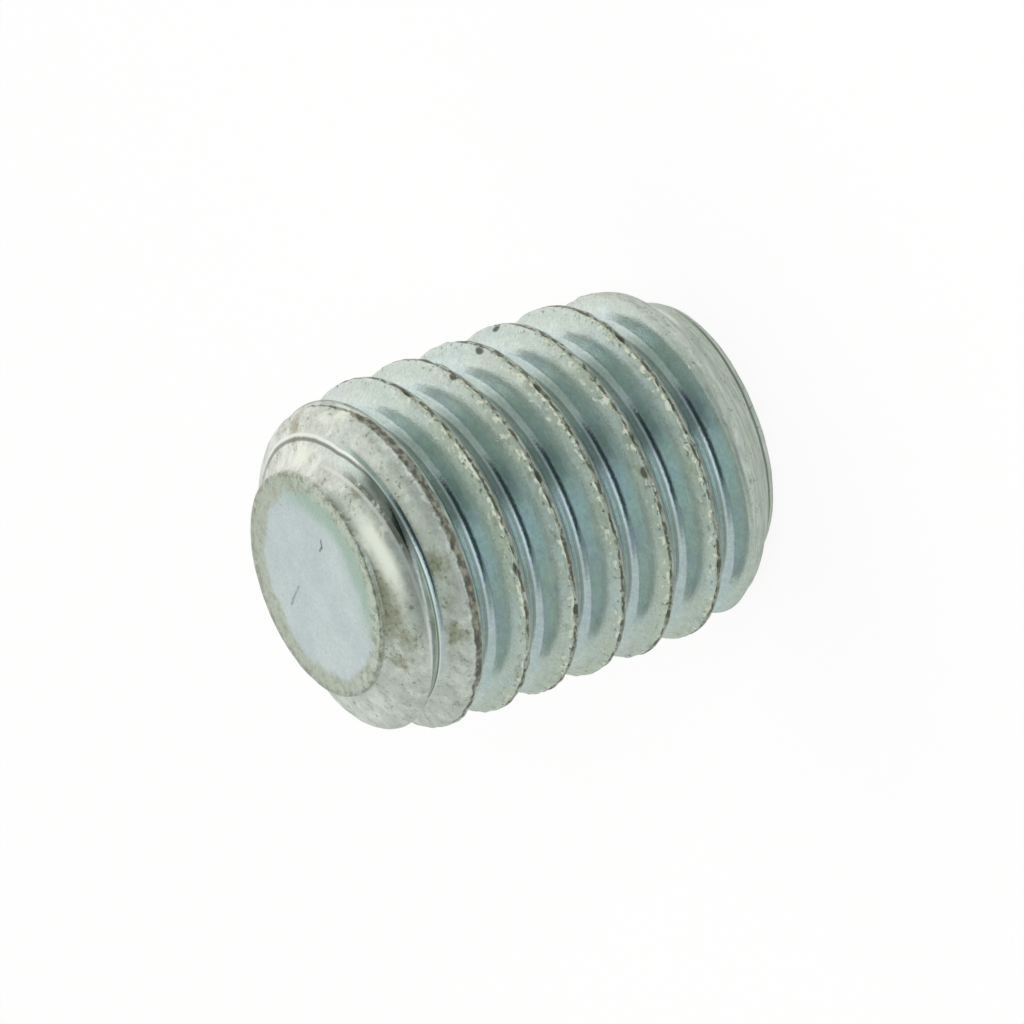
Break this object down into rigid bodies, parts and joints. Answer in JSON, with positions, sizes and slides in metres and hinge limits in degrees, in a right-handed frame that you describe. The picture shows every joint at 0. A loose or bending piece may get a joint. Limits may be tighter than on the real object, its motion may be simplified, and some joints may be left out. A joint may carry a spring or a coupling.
{
  "type": "grub set screw",
  "caption": "Headless set screw with a right-hand metric coarse thread, a flat point and a hexagon socket.",
  "frame": {"origin": "on the thread's axis, at the socket end's face, on which the screw stands", "axes": "+Z along the thread's axis from the socket end to the flat point; the thread is right-handed about +Z; +X and +Y pass through two flats or corners of the socket"},
  "size_m": [0.0078, 0.0078, 0.01],
  "materials": {
    "zinc_plated_steel": "bright zinc plating with a blue-green passivate, yellowish and specked where the rolled crests are rough"
  },
  "bodies": {
    "root": {"set_screw": "zinc_plated_steel"}
  },
  "joints": []
}
